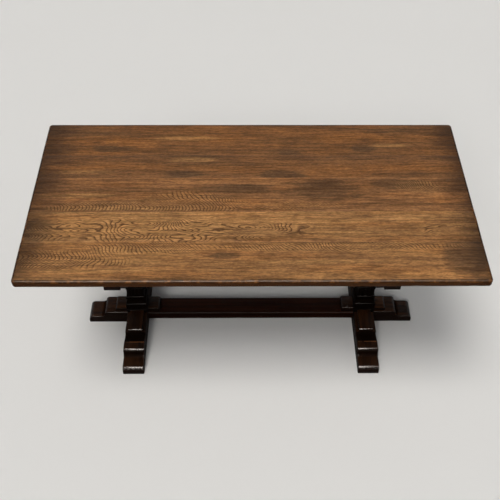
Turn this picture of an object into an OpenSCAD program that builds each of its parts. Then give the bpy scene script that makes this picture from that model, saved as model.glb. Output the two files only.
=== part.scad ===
// Refectory table: a plank top of edge-glued boards on two carved pedestals.
// Each pedestal stands on a cross of two halved feet, and a low stretcher joins the crosses.
// X runs along the table, Y from front (-) to back (+), Z up from the floor, all in millimetres.

/* [Top] */
// Length of the top
top_length = 1676; // [1400:2:2200]
// Width of the top, front to back
top_width = 838; // [800:2:960]
// Height of the finished table
table_height = 762; // [730:1:790]
// Thickness of the top boards
top_thickness = 30; // [24:1:40]
// Corner radius of the top seen from above
corner_radius = 14; // [6:1:40]
// Radius of the rounded upper edge
upper_edge_radius = 9; // [3:0.5:12]
// Radius of the eased lower edge
lower_edge_radius = 4; // [1:0.5:8]
// Width of the board along the front edge
front_board = 183; // [140:1:200]
// Width of the second board from the front
front_inner_board_width = 152; // [120:1:170]
// Width of the middle board
middle_board_width = 181; // [160:1:200]
// Width of the fourth board from the front
back_inner_board_width = 129; // [110:1:150]

/* [Board joints] */
// Thickness of the loose tongues between the boards
tongue_thickness = 8; // [5:1:10]
// Depth of each groove that a tongue fills
tongue_depth = 12; // [8:1:16]
// Length of solid board left at each end of a groove
tongue_stop = 60; // [40:5:120]

/* [Pedestals] */
// Distance between the centres of the two pedestals
pedestal_spacing = 1008; // [960:2:1100]
// Side of the square plinth block
plinth_width = 90; // [84:1:100]
// Height of the plinth block above the feet
plinth_height = 62; // [50:1:80]
// Radius of the plinth's top edge
plinth_edge_radius = 5; // [2:0.5:8]
// Side of the square shaft
shaft_width = 70; // [66:1:74]
// Height of the hollow neck above the plinth
neck_height = 32; // [28:1:40]
// Ledge of the plinth around the neck
neck_ledge = 4; // [2:0.5:6]
// Depth of the hollow in the neck
neck_depth = 8; // [5:0.5:10]
// Plain edge left above and below the hollow of the neck
neck_edge = 2; // [1:0.5:4]
// Height of the bead above the neck
bead_height = 12; // [8:1:16]
// How far the bead is set in from the neck's edges
bead_inset = 2; // [1:0.5:3]
// Height of the carved band of lobes
lobe_band_height = 48; // [36:1:70]
// Radius of one carved lobe
lobe_radius = 11; // [10:0.5:12]
// How far the lobes stand proud of the shaft
lobe_relief = 1; // [0.5:0.5:2]
// Lobes along one face, counting both corners
lobes_per_face = 4; // [3:1:4]
// Rounding of the lobes at their ends
lobe_end_radius = 12; // [6:1:16]
// Height of the flat collar above the lobes
collar_height = 10; // [6:1:14]
// Width of the stopped chamfers on the shaft
chamfer = 7; // [3:0.5:9]
// Plain length of the shaft before and after a chamfer
chamfer_stop = 26; // [15:1:50]
// Side of the square tenon under the column
foot_tenon = 40; // [30:1:46]
// Wood left under the column's lower tenon
foot_tenon_floor = 18; // [10:1:26]
// Thickness of the column's upper tenon
head_tenon_thickness = 28; // [20:1:32]
// Width of the column's upper tenon
head_tenon_width = 52; // [40:1:60]
// Height of the column's upper tenon
head_tenon_height = 40; // [30:1:42]

/* [Bearers] */
// Length of the bearer under the top
bearer_length = 746; // [730:2:780]
// Width of the bearer
bearer_width = 60; // [54:1:66]
// Depth of the bearer
bearer_depth = 78; // [64:1:86]
// Radius of the lower corners at the bearer's ends
bearer_end_radius = 3; // [2:1:16]

/* [Corbels] */
// Thickness of the corbels
corbel_thickness = 50; // [40:1:52]
// Gap between the corbel's tip and the end of the bearer
corbel_setback = 23; // [4:1:30]
// Height of the blunt tip of a corbel
corbel_tip = 8; // [4:1:20]
// Angle of the corbel's straight lower edge, from level
corbel_angle = 54; // [50:0.5:56]
// Radius of the corbel's belly
corbel_belly = 110; // [90:5:130]
// Radius of the cove that runs down to the column
corbel_cove = 120; // [100:5:130]
// Width of the flat toe where the cove ends on the column
corbel_toe = 10; // [6:1:16]
// Radius of the dowels that locate a corbel
dowel_radius = 5; // [4:0.5:6]
// Depth of a dowel in each piece
dowel_depth = 20; // [14:1:24]

/* [Feet] */
// Width of the feet
foot_width = 90; // [84:1:96]
// Height of the feet
foot_height = 70; // [68:1:80]
// Reach of the long foot, from the pedestal centre to its front
sledge_reach = 320; // [304:2:350]
// Reach of the outward arm of the cross foot
outward_reach = 222; // [200:1:250]
// Height of the low toe of a foot
toe_height = 37; // [30:1:39]
// Length of the toe, from its end to the hollow of the rise
toe_length = 54; // [46:1:60]
// Radius of the toe's rounded nose
nose_radius = 22; // [10:1:26]
// Radius of the hollow at the foot of the rise
rise_hollow = 20; // [14:1:24]
// Radius of the round shoulder at the head of the rise
rise_shoulder = 16; // [12:1:24]
// Distance from the end of the long foot to its scotia
scotia_start = 118; // [112:1:126]
// Depth of the scotia
scotia_depth = 12; // [6:1:16]

/* [Pads] */
// Width of the raised pads on the long feet
long_pad_width = 60; // [52:1:72]
// Width of the raised pads on the cross feet
short_pad_width = 68; // [56:1:76]
// Thickness of the pads
pad_thickness = 16; // [10:1:20]
// Reach of the long pads from the pedestal centre
long_pad_reach = 152; // [140:1:154]
// Reach of the short pads from the pedestal centre
short_pad_reach = 98; // [84:1:106]
// Radius of the upper edges along the pads
pad_edge_radius = 4; // [2:0.5:6]
// Radius of the round nose at the far end of a pad
pad_nose_radius = 10; // [4:1:10]

/* [Stretcher] */
// Width of the stretcher
stretcher_width = 88; // [76:1:90]
// Thickness of the stretcher
stretcher_thickness = 46; // [42:1:50]
// Height of the stretcher above the floor
stretcher_clearance = 16; // [12:1:18]
// Radius of the stretcher's upper edges
stretcher_edge_radius = 6; // [3:0.5:9]
// Radius of the quirk below the stretcher's upper edges
quirk_radius = 2.5; // [1.5:0.5:3.5]
// Bevel of the stretcher's lower edges
stretcher_bevel = 8; // [4:1:12]
// Thickness of the stretcher's tenons
stretcher_tenon_thickness = 16; // [12:1:18]
// Width of the stretcher's tenons
stretcher_tenon_width = 60; // [50:1:66]
// Length of the stretcher's tenons
stretcher_tenon_length = 20; // [14:1:21]
// Wood of the cross foot left under the stretcher's tenons
stretcher_tenon_floor = 4; // [3:1:5]

/* [Fixings] */
// Radius of the oak pegs through the bearers
peg_radius = 6; // [4:0.5:7]
// Radius of the oak pegs through the stretcher's tenons
stretcher_peg_radius = 4; // [3:0.5:5]
// Distance between the two pegs of a stretcher tenon
peg_spacing = 32; // [24:1:38]
// Wood of the cross foot left under those pegs
peg_floor = 2; // [1:0.5:3]
// Length of a button that holds the top to a bearer
button_length = 44; // [36:1:60]
// Width of a button
button_width = 30; // [24:1:40]
// Thickness of a button
button_thickness = 24; // [20:1:28]
// Height of the groove in the bearer that the buttons enter
button_groove = 8; // [6:1:10]
// Depth of that groove
button_groove_depth = 10; // [6:1:12]
// Wood above the groove
button_groove_cover = 12; // [8:1:14]
// Distance from the table's centre to the outer buttons
button_offset = 325; // [260:5:335]
// Radius of the button screws
screw_radius = 2; // [1.5:0.25:2.5]
// Radius of the screw heads
screw_head_radius = 4.2; // [3.5:0.1:5.5]
// Height of the screw heads
screw_head_height = 3; // [2:0.25:4]
// Depth of the screws in the top
screw_bite = 16; // [10:1:18]

/* [Fits] */
// Clearance on each side of a tenon, halving or tongue
joint_gap = 0.15; // [0.05:0.05:0.3]
// Radial clearance of pegs, dowels and screws
peg_gap = 0.05; // [0.02:0.01:0.1]

/* [Hidden] */
$fn = 64;
OVERCUT = 1;
CURVE_STEPS = 24;
dark_oak = [0.20, 0.11, 0.07];
foot_oak = [0.26, 0.15, 0.09];
pad_oak = [0.42, 0.25, 0.13];
board_colours = [
    [0.55, 0.37, 0.22],
    [0.57, 0.39, 0.24],
    [0.44, 0.31, 0.20],
    [0.46, 0.32, 0.20],
    [0.43, 0.29, 0.18]
];
// The boards' widths from front to back; the last one makes up the width of the top
board_widths = [
    front_board,
    front_inner_board_width,
    middle_board_width,
    back_inner_board_width,
    top_width - front_board - front_inner_board_width - middle_board_width - back_inner_board_width
];
function board_front(i) = i == 0 ? -top_width / 2 : board_front(i - 1) + board_widths[i - 1];
top_underside = table_height - top_thickness;
bearer_underside = top_underside - bearer_depth;
pedestal_x = pedestal_spacing / 2;
halving_height = foot_height / 2;
neck_base = foot_height + plinth_height;
bead_base = neck_base + neck_height;
lobe_base = bead_base + bead_height;
collar_base = lobe_base + lobe_band_height;
shaft_base = collar_base + collar_height;
lobe_crest = shaft_width / 2 + lobe_relief;
lobe_centre = lobe_crest - lobe_radius;
lobe_pitch = 2 * lobe_centre / (lobes_per_face - 1);
groove_floor = top_underside - button_groove_cover - button_groove;
// The stretcher runs from crossing to crossing, and its tenons enter the upper halves of the halvings
stretcher_length = 2 * (pedestal_x - foot_width / 2);
stretcher_top = stretcher_clearance + stretcher_thickness;

// A rectangle that stands on z = 0, with its two upper corners rounded
module round_topped(width, height, radius) {
    union() {
        translate([-width / 2, 0]) square([width, height - radius]);
        translate([-width / 2 + radius, 0]) square([width - 2 * radius, height]);
        for (side = [-1, 1])
            translate([side * (width / 2 - radius), height - radius]) circle(radius);
    }
}

// A rectangle about the origin with four rounded corners
module round_cornered(length, width, radius) {
    union() {
        square([length - 2 * radius, width], center = true);
        square([length, width - 2 * radius], center = true);
        for (x = [-1, 1], y = [-1, 1])
            translate([x * (length / 2 - radius), y * (width / 2 - radius)]) circle(radius);
    }
}

// Raises an outline drawn as X and Z into a solid that is centred on Y
module along_y(length) {
    rotate([90, 0, 0]) linear_extrude(length, center = true) children();
}

// Raises an outline drawn as Y and Z into a solid that is centred on X
module along_x(length) {
    rotate([90, 0, 90]) linear_extrude(length, center = true) children();
}

// A square bar whose four faces all follow the same outline
module four_faced(width) {
    intersection() {
        along_y(width) children();
        along_x(width) children();
    }
}

// Puts a right-hand pedestal piece at its place; the left one is its mirror image
module at_pedestal(side) {
    translate([side * pedestal_x, 0, 0]) mirror([side < 0 ? 1 : 0, 0, 0]) children();
}

// Turns a front piece to the back of a pedestal
module front_or_back(side) {
    mirror([0, side > 0 ? 1 : 0, 0]) children();
}

// Edge outline of the top: rounded above, eased below
module top_edge(width) {
    intersection() {
        round_topped(width, top_thickness, upper_edge_radius);
        translate([0, top_thickness]) mirror([0, 1]) round_topped(width, top_thickness, lower_edge_radius);
    }
}

// The whole top before it is divided into boards
module top_slab() {
    translate([0, 0, top_underside]) intersection() {
        linear_extrude(top_thickness) round_cornered(top_length, top_width, corner_radius);
        along_y(top_width) top_edge(top_length);
        along_x(top_length) top_edge(top_width);
    }
}

// The loose tongue across the joint in front of board i, grown by a clearance
module tongue(i, gap) {
    translate([0, board_front(i), top_underside + top_thickness / 2])
        cube([
            top_length - 2 * tongue_stop + 2 * gap,
            2 * tongue_depth + 2 * gap,
            tongue_thickness + 2 * gap
        ], center = true);
}

// One board of the top, grooved for its tongues and bored for the button screws
module board(i) {
    color(board_colours[i]) difference() {
        intersection() {
            top_slab();
            translate([-top_length / 2, board_front(i), top_underside])
                cube([top_length, board_widths[i], top_thickness]);
        }
        if (i > 0) tongue(i, joint_gap);
        if (i < 4) tongue(i + 1, joint_gap);
        button_places() screw(peg_gap);
    }
}

module front_edge_board() { board(0); }
module front_inner_board() { board(1); }
module middle_board() { board(2); }
module back_inner_board() { board(3); }
module back_edge_board() { board(4); }

module board_tongues() {
    color(dark_oak) for (i = [1:4]) tongue(i, 0);
}

// Repeats a button or its screw: three on each face of each bearer
module button_places() {
    for (side = [-1, 1], face = [-1, 1], place = [-1, 0, 1])
        translate([side * pedestal_x, place * button_offset, 0])
            mirror([face < 0 ? 1 : 0, 0, 0]) children();
}

// A screw up through a button into the top, on the bearer's right-hand face
module screw(gap) {
    translate([bearer_width / 2 + button_length / 2, 0, top_underside - button_thickness]) {
        cylinder(h = screw_head_height, r = screw_head_radius + gap);
        cylinder(h = button_thickness + screw_bite + gap, r = screw_radius + gap);
    }
}

// A button beside the bearer, with its lip in the bearer's groove
module button() {
    color(dark_oak) difference() {
        union() {
            translate([bearer_width / 2, -button_width / 2, top_underside - button_thickness])
                cube([button_length, button_width, button_thickness]);
            translate([
                bearer_width / 2 - button_groove_depth + joint_gap,
                -button_width / 2,
                groove_floor + 2 * joint_gap
            ])
                cube([button_groove_depth, button_width, button_groove - 2 * joint_gap]);
        }
        screw(peg_gap);
    }
}

module top_buttons() { button_places() button(); }

module button_screws() {
    color("silver") button_places() screw(0);
}

// Upper tenon of the column, grown by a clearance
module head_tenon(gap) {
    translate([
        -head_tenon_thickness / 2 - gap,
        -head_tenon_width / 2 - gap,
        bearer_underside - OVERCUT
    ])
        cube([
            head_tenon_thickness + 2 * gap,
            head_tenon_width + 2 * gap,
            head_tenon_height + gap + OVERCUT
        ]);
}

// The two pegs across the bearer and the column's upper tenon
module bearer_peg_pair(gap) {
    for (y = [-1, 1])
        translate([0, y * head_tenon_width / 4, bearer_underside + head_tenon_height / 2])
            rotate([0, 90, 0]) cylinder(h = bearer_width, r = peg_radius + gap, center = true);
}

// A corbel stands against the shaft at its seat and ends short of the bearer
corbel_seat = shaft_width / 2;
corbel_end = bearer_length / 2 - corbel_setback;
cove_start = corbel_seat + corbel_toe;
belly_start = cove_start + corbel_cove;
// Where the belly turns into the straight edge, and how high the cove ends on the column
belly_end = belly_start + corbel_belly * sin(corbel_angle);
straight_rise = (corbel_end - belly_end) * tan(corbel_angle);
belly_end_z = bearer_underside - corbel_tip - straight_rise;
belly_z = belly_end_z - corbel_belly * (1 - cos(corbel_angle));
corbel_foot = belly_z - corbel_cove;

// Points of the belly and of the cove, from the straight edge down to the column
function belly_point(angle) = [
    belly_start + corbel_belly * sin(angle),
    belly_z + corbel_belly * (1 - cos(angle))
];
function cove_point(angle) = [
    belly_start - corbel_cove * sin(angle),
    corbel_foot + corbel_cove * cos(angle)
];

// The corbel's outline: a blunt tip, a straight edge, a round belly and a cove, drawn outwards and up
module corbel_outline() {
    polygon([
        [corbel_seat, bearer_underside],
        [corbel_end, bearer_underside],
        [corbel_end, bearer_underside - corbel_tip],
        for (step = [0:CURVE_STEPS]) belly_point(corbel_angle * (1 - step / CURVE_STEPS)),
        for (step = [1:CURVE_STEPS]) cove_point(90 * step / CURVE_STEPS),
        [corbel_seat, corbel_foot]
    ]);
}

// The dowel between a corbel and the column, and the one between a corbel and the bearer
module corbel_dowel_pair(gap) {
    translate([0, corbel_seat - dowel_depth - gap, belly_z + 2 * dowel_depth])
        rotate([-90, 0, 0]) cylinder(h = 2 * (dowel_depth + gap), r = dowel_radius + gap);
    translate([0, (corbel_seat + corbel_end) / 2, bearer_underside - dowel_depth - gap])
        cylinder(h = 2 * (dowel_depth + gap), r = dowel_radius + gap);
}

// A corbel at the back of the pedestal
module corbel() {
    color(dark_oak) difference() {
        along_x(corbel_thickness) corbel_outline();
        corbel_dowel_pair(peg_gap);
    }
}

// Both pairs of dowel holes or dowels on a pedestal
module pedestal_dowels(gap) {
    for (end = [-1, 1]) front_or_back(-end) corbel_dowel_pair(gap);
}

module left_front_corbel() { at_pedestal(-1) front_or_back(1) corbel(); }
module left_back_corbel() { at_pedestal(-1) corbel(); }
module right_front_corbel() { at_pedestal(1) front_or_back(1) corbel(); }
module right_back_corbel() { at_pedestal(1) corbel(); }

module corbel_dowels() {
    color(pad_oak) for (side = [-1, 1]) at_pedestal(side) pedestal_dowels(0);
}

// The bearer across the head of a pedestal
module bearer() {
    color(dark_oak) difference() {
        along_x(bearer_width) translate([0, top_underside]) mirror([0, 1])
            round_topped(bearer_length, bearer_depth, bearer_end_radius);
        for (face = [-1, 1])
            translate([
                face * (bearer_width / 2 - button_groove_depth / 2 + OVERCUT / 2),
                0,
                groove_floor + button_groove / 2
            ])
                cube([
                    button_groove_depth + OVERCUT,
                    2 * button_offset + 2 * button_width,
                    button_groove
                ], center = true);
        head_tenon(joint_gap);
        bearer_peg_pair(peg_gap);
        pedestal_dowels(peg_gap);
    }
}

module left_bearer() { at_pedestal(-1) bearer(); }
module right_bearer() { at_pedestal(1) bearer(); }

module bearer_pegs() {
    color(pad_oak) for (side = [-1, 1]) at_pedestal(side) bearer_peg_pair(0);
}

// The plinth block, on the crossing of the feet
module plinth() {
    translate([0, 0, foot_height]) four_faced(plinth_width)
        round_topped(plinth_width, plinth_height, plinth_edge_radius);
}

// The hollow neck: a circle of this radius scoops each face to the neck's depth
scoop_chord = neck_height - 2 * neck_edge;
scoop_radius = (scoop_chord * scoop_chord / 4 + neck_depth * neck_depth) / (2 * neck_depth);
neck_width = plinth_width - 2 * neck_ledge;

module neck() {
    translate([0, 0, neck_base]) four_faced(neck_width) difference() {
        translate([-neck_width / 2, 0]) square([neck_width, neck_height]);
        for (face = [-1, 1])
            translate([face * (neck_width / 2 - neck_depth + scoop_radius), neck_height / 2])
                circle(scoop_radius);
    }
}

// The bead under the lobes, half round on each face
module bead() {
    bead_width = neck_width - 2 * bead_inset;
    translate([0, 0, bead_base]) four_faced(bead_width) union() {
        translate([-bead_width / 2 + bead_height / 2, 0])
            square([bead_width - bead_height, bead_height]);
        for (face = [-1, 1])
            translate([face * (bead_width / 2 - bead_height / 2), bead_height / 2])
                circle(bead_height / 2);
    }
}

// The carved band: upright lobes side by side on every face, rounded off at both ends
module lobe_band() {
    translate([0, 0, lobe_base]) intersection() {
        linear_extrude(lobe_band_height) union() {
            square(2 * lobe_centre + lobe_radius, center = true);
            for (i = [0:lobes_per_face - 1], face = [-1, 1]) {
                translate([face * lobe_centre, -lobe_centre + i * lobe_pitch]) circle(lobe_radius);
                translate([-lobe_centre + i * lobe_pitch, face * lobe_centre]) circle(lobe_radius);
            }
        }
        four_faced(2 * lobe_crest) intersection() {
            round_topped(2 * lobe_crest, lobe_band_height, lobe_end_radius / 2);
            translate([0, lobe_band_height]) mirror([0, 1])
                round_topped(2 * lobe_crest, lobe_band_height, lobe_end_radius);
        }
    }
}

// One stopped chamfer along a corner of the shaft, drawn for the corner at +X +Y
module corner_chamfer() {
    corner = shaft_width / 2 * sqrt(2);
    flat = corner - chamfer / sqrt(2);
    low = shaft_base + chamfer_stop;
    high = bearer_underside - chamfer_stop;
    slope = corner + OVERCUT - flat;
    rotate([0, 0, 45]) along_y(shaft_width) polygon([
        [flat, low],
        [flat, high],
        [corner + OVERCUT, high + slope],
        [corner + OVERCUT, low - slope]
    ]);
}

// The plain shaft with its collar and stopped chamfers
module shaft() {
    translate([-lobe_crest, -lobe_crest, collar_base])
        cube([2 * lobe_crest, 2 * lobe_crest, collar_height]);
    difference() {
        translate([-shaft_width / 2, -shaft_width / 2, collar_base])
            cube([shaft_width, shaft_width, bearer_underside - collar_base]);
        for (turn = [0:90:270]) rotate([0, 0, turn]) corner_chamfer();
    }
}

// Square tenon under the column, grown by a clearance
module foot_tenon(gap) {
    translate([
        -foot_tenon / 2 - gap,
        -foot_tenon / 2 - gap,
        foot_tenon_floor - gap
    ])
        cube([
            foot_tenon + 2 * gap,
            foot_tenon + 2 * gap,
            foot_height - foot_tenon_floor + gap + OVERCUT
        ]);
}

// One column, carved from the solid with a tenon at each end
module column() {
    color(dark_oak) difference() {
        union() {
            foot_tenon(0);
            plinth();
            neck();
            bead();
            lobe_band();
            shaft();
            head_tenon(0);
        }
        bearer_peg_pair(peg_gap);
        pedestal_dowels(peg_gap);
    }
}

module left_column() { at_pedestal(-1) column(); }
module right_column() { at_pedestal(1) column(); }

// The rise is an ogee: the hollow's circle runs into the shoulder's circle at this angle, or both run
// into an upright between them where the two radii are less than the height
rise_angle = acos(max(0, 1 - (foot_height - toe_height) / (rise_hollow + rise_shoulder)));

// Outline of a foot's outer half: low toe with a round nose, an ogee rise and the full height
module toe_outline(reach) {
    hollow_end = reach - toe_length;
    turn_x = hollow_end - rise_hollow * sin(rise_angle);
    turn_z = toe_height + rise_hollow * (1 - cos(rise_angle));
    shoulder_start = turn_x - rise_shoulder * sin(rise_angle);
    union() {
        square([reach - nose_radius, toe_height]);
        square([reach, toe_height - nose_radius]);
        // Only the part of the nose's circle above the floor
        intersection() {
            square([reach + OVERCUT, toe_height + OVERCUT]);
            translate([reach - nose_radius, toe_height - nose_radius]) circle(nose_radius);
        }
        difference() {
            square([hollow_end, turn_z]);
            translate([hollow_end, toe_height + rise_hollow]) circle(rise_hollow);
        }
        square([shoulder_start, foot_height]);
        intersection() {
            square([turn_x, foot_height]);
            translate([shoulder_start, foot_height - rise_shoulder]) circle(rise_shoulder);
        }
        square([turn_x, max(turn_z, foot_height - rise_shoulder)]);
    }
}

// The scotia drops straight down at the long pad's end, and this circle leads it up to the full height
scotia_length = sledge_reach - scotia_start - long_pad_reach;
scotia_radius = (scotia_length * scotia_length + scotia_depth * scotia_depth) / (2 * scotia_depth);

// The long foot that runs from front to back
module sledge_foot() {
    color(foot_oak) difference() {
        along_x(foot_width) difference() {
            for (end = [0, 1]) mirror([end, 0]) toe_outline(sledge_reach);
            for (end = [0, 1]) mirror([end, 0]) intersection() {
                translate([long_pad_reach, foot_height - scotia_depth + scotia_radius])
                    circle(scotia_radius);
                translate([long_pad_reach, 0])
                    square([scotia_radius, foot_height + OVERCUT]);
            }
        }
        translate([0, 0, foot_height])
            cube([
                foot_width + 2 * OVERCUT,
                foot_width + 2 * joint_gap,
                2 * (foot_height - halving_height)
            ], center = true);
        foot_tenon(joint_gap);
    }
}

module left_sledge_foot() { at_pedestal(-1) sledge_foot(); }
module right_sledge_foot() { at_pedestal(1) sledge_foot(); }

// The two pegs down through the crossing and the stretcher's tenon, on the right-hand pedestal
module stretcher_peg_pair(gap) {
    for (y = [-1, 1])
        translate([
            (stretcher_tenon_length - foot_width) / 2,
            y * peg_spacing / 2,
            halving_height + peg_floor - gap
        ])
            cylinder(h = foot_height - halving_height - peg_floor + gap, r = stretcher_peg_radius + gap);
}

// The stretcher's tenon in the crossing, on the right-hand pedestal, grown by a clearance
module stretcher_tenon(gap) {
    translate([
        -foot_width / 2 - OVERCUT,
        -stretcher_tenon_width / 2 - gap,
        halving_height + stretcher_tenon_floor - gap
    ])
        cube([
            stretcher_tenon_length + OVERCUT + gap,
            stretcher_tenon_width + 2 * gap,
            stretcher_tenon_thickness + 2 * gap
        ]);
}

// The foot across the long one: it runs outward, and its upper half spans the crossing
module cross_foot() {
    color(foot_oak) difference() {
        along_y(foot_width) union() {
            toe_outline(outward_reach);
            translate([-foot_width / 2, 0]) square([foot_width / 2, foot_height]);
        }
        translate([0, 0, -OVERCUT / 2])
            cube([
                foot_width + 2 * joint_gap,
                foot_width + 2 * OVERCUT,
                2 * halving_height + OVERCUT
            ], center = true);
        foot_tenon(joint_gap);
        stretcher_tenon(joint_gap);
        stretcher_peg_pair(peg_gap);
    }
}

module left_cross_foot() { at_pedestal(-1) cross_foot(); }
module right_cross_foot() { at_pedestal(1) cross_foot(); }

// A raised pad from the plinth out to its reach along +X; all pads end at the same height
module pad(reach, width, base) {
    pad_start = plinth_width / 2;
    height = foot_height + pad_thickness - base;
    color(pad_oak) translate([0, 0, base]) intersection() {
        translate([pad_start, -width / 2, 0]) cube([reach - pad_start, width, height]);
        along_x(2 * reach) round_topped(width, height, pad_edge_radius);
        along_y(width) round_topped(2 * reach, height, pad_nose_radius);
    }
}

// Front and back pads lie on the long foot
module long_pad(direction) {
    rotate([0, 0, direction]) pad(long_pad_reach, long_pad_width, foot_height);
}

// The outer pad lies on the cross foot, and the inner one on the stretcher, which is a little lower
module outer_pad() { pad(short_pad_reach, short_pad_width, foot_height); }
module inner_pad() { rotate([0, 0, 180]) pad(short_pad_reach, short_pad_width, stretcher_top); }

module left_front_pad() { at_pedestal(-1) long_pad(-90); }
module left_back_pad() { at_pedestal(-1) long_pad(90); }
module left_outer_pad() { at_pedestal(-1) outer_pad(); }
module left_inner_pad() { at_pedestal(-1) inner_pad(); }
module right_front_pad() { at_pedestal(1) long_pad(-90); }
module right_back_pad() { at_pedestal(1) long_pad(90); }
module right_outer_pad() { at_pedestal(1) outer_pad(); }
module right_inner_pad() { at_pedestal(1) inner_pad(); }

// Section of the stretcher: round upper edges over a quirk, bevelled lower edges
module stretcher_section() {
    difference() {
        round_topped(stretcher_width, stretcher_thickness, stretcher_edge_radius);
        for (face = [-1, 1]) {
            translate([
                face * stretcher_width / 2,
                stretcher_thickness - stretcher_edge_radius - 2 * quirk_radius
            ])
                circle(quirk_radius);
            translate([face * stretcher_width / 2, 0]) rotate(45)
                square(stretcher_bevel * sqrt(2), center = true);
        }
    }
}

module stretcher() {
    color(dark_oak) difference() {
        union() {
            translate([0, 0, stretcher_clearance]) along_x(stretcher_length) stretcher_section();
            for (side = [-1, 1]) at_pedestal(side) stretcher_tenon(0);
        }
        for (side = [-1, 1]) at_pedestal(side) stretcher_peg_pair(peg_gap);
    }
}

module stretcher_pegs() {
    color(pad_oak) for (side = [-1, 1]) at_pedestal(side) stretcher_peg_pair(0);
}

front_edge_board();
front_inner_board();
middle_board();
back_inner_board();
back_edge_board();
board_tongues();
left_bearer();
right_bearer();
top_buttons();
button_screws();
left_front_corbel();
left_back_corbel();
right_front_corbel();
right_back_corbel();
corbel_dowels();
left_column();
right_column();
bearer_pegs();
left_sledge_foot();
right_sledge_foot();
left_cross_foot();
right_cross_foot();
left_front_pad();
left_back_pad();
left_outer_pad();
left_inner_pad();
right_front_pad();
right_back_pad();
right_outer_pad();
right_inner_pad();
stretcher();
stretcher_pegs();
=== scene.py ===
# %% [markdown]
# # A refectory table of dark-stained oak
# The table has a top of five glued boards on two carved pedestals. Every piece here is built around
# the measured frame of the real parts: it has the same place and size, and gains worn edges, carving
# and an oak finish. The lengths are in metres, X runs along the table, Y to the back and Z up.

# %% Load the frame
import math

import bmesh
import bpy
from mathutils import Matrix, Vector, noise


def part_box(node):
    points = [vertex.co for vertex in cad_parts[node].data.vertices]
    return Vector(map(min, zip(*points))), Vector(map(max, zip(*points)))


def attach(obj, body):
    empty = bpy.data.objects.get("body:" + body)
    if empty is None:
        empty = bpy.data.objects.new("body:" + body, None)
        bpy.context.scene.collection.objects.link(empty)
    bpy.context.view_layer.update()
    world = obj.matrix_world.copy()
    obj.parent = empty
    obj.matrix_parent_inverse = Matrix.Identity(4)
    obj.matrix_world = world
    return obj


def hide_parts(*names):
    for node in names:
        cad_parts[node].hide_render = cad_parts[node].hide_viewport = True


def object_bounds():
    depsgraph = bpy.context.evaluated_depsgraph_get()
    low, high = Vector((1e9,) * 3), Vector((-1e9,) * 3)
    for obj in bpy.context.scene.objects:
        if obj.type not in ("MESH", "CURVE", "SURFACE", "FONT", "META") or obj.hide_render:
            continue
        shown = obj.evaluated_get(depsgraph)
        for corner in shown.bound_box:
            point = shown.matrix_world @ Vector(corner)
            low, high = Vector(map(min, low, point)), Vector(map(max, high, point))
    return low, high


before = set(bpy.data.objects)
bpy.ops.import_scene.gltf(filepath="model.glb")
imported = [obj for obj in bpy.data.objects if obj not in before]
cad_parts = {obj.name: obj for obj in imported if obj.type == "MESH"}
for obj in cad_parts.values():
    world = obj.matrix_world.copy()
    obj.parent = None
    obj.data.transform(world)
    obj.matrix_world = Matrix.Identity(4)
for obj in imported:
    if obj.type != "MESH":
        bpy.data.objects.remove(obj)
cad_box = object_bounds()
BODY = "root"
MM = 0.001
X, Y, Z = 0, 1, 2
HALF_LENGTH, HALF_WIDTH = cad_box[1][X], cad_box[1][Y]
print("nodes:", len(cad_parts), "box:", [[round(v, 4) for v in corner] for corner in cad_box])

# %% [markdown]
# ## Camera, floor and light
# The photo looks down at the table from standing height on a ladder. The camera's place, turn and
# lens were found by fitting the corners of the top, the ends of the feet and the stretcher's edges.
# A long lens keeps the legs from spreading. The floor is plain and pale, so that it shows the shadow.

# %% Camera
CAMERA_PLACE = Vector((-0.0345, -2.0478, 2.8245))
PITCH_DOWN, YAW_RIGHT, ROLL = 49.3065, 0.8357, 0.5279
LENS, FILM_WIDTH = 54.74, 36.0
camera_data = bpy.data.cameras.new("camera")
camera_data.sensor_width = FILM_WIDTH
camera_data.lens = LENS
camera = bpy.data.objects.new("camera", camera_data)
bpy.context.scene.collection.objects.link(camera)
camera.matrix_world = (
    Matrix.Translation(CAMERA_PLACE)
    @ Matrix.Rotation(-math.radians(YAW_RIGHT), 4, "Z")
    @ Matrix.Rotation(math.radians(90 - PITCH_DOWN), 4, "X")
    @ Matrix.Rotation(math.radians(ROLL), 4, "Z")
)
bpy.context.scene.camera = camera
print("camera at", tuple(round(v, 3) for v in CAMERA_PLACE), "lens", LENS)


# %% [markdown]
# Small helpers keep the node trees readable. A helper either links a socket or writes a plain number,
# so the same call serves both. Colours are given as the eye reads them on a screen, and turned into
# the linear light values that the renderer needs.

# %% Numbers, vectors and colours in a node tree
def feed(tree, socket, value):
    """Links a socket to another one, or writes a number into it."""
    if isinstance(value, bpy.types.NodeSocket):
        tree.links.new(value, socket)
    elif value is not None:
        socket.default_value = value


def calc(tree, operation, first, second=None, clamp=False):
    node = tree.nodes.new("ShaderNodeMath")
    node.operation = operation
    node.use_clamp = clamp
    for socket, value in zip(node.inputs, (first, second)):
        feed(tree, socket, value)
    return node.outputs[0]


def plus(tree, first, second):
    return calc(tree, "ADD", first, second)


def minus(tree, first, second):
    return calc(tree, "SUBTRACT", first, second)


def times(tree, first, second):
    return calc(tree, "MULTIPLY", first, second)


def vector_calc(tree, operation, first, second=None, output=0):
    node = tree.nodes.new("ShaderNodeVectorMath")
    node.operation = operation
    for socket, value in zip(node.inputs, (first, second)):
        feed(tree, socket, value)
    return node.outputs[output]


def split(tree, vector):
    """The X, Y and Z numbers of a vector."""
    node = tree.nodes.new("ShaderNodeSeparateXYZ")
    feed(tree, node.inputs[0], vector)
    return node.outputs


def ease(tree, value, start, end, low=0.0, high=1.0):
    """A soft step: low before start, high after end."""
    node = tree.nodes.new("ShaderNodeMapRange")
    node.interpolation_type = "SMOOTHSTEP"
    for name, level in (("From Min", start), ("From Max", end), ("To Min", low), ("To Max", high)):
        feed(tree, node.inputs[name], level)
    feed(tree, node.inputs["Value"], value)
    return node.outputs[0]


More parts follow.
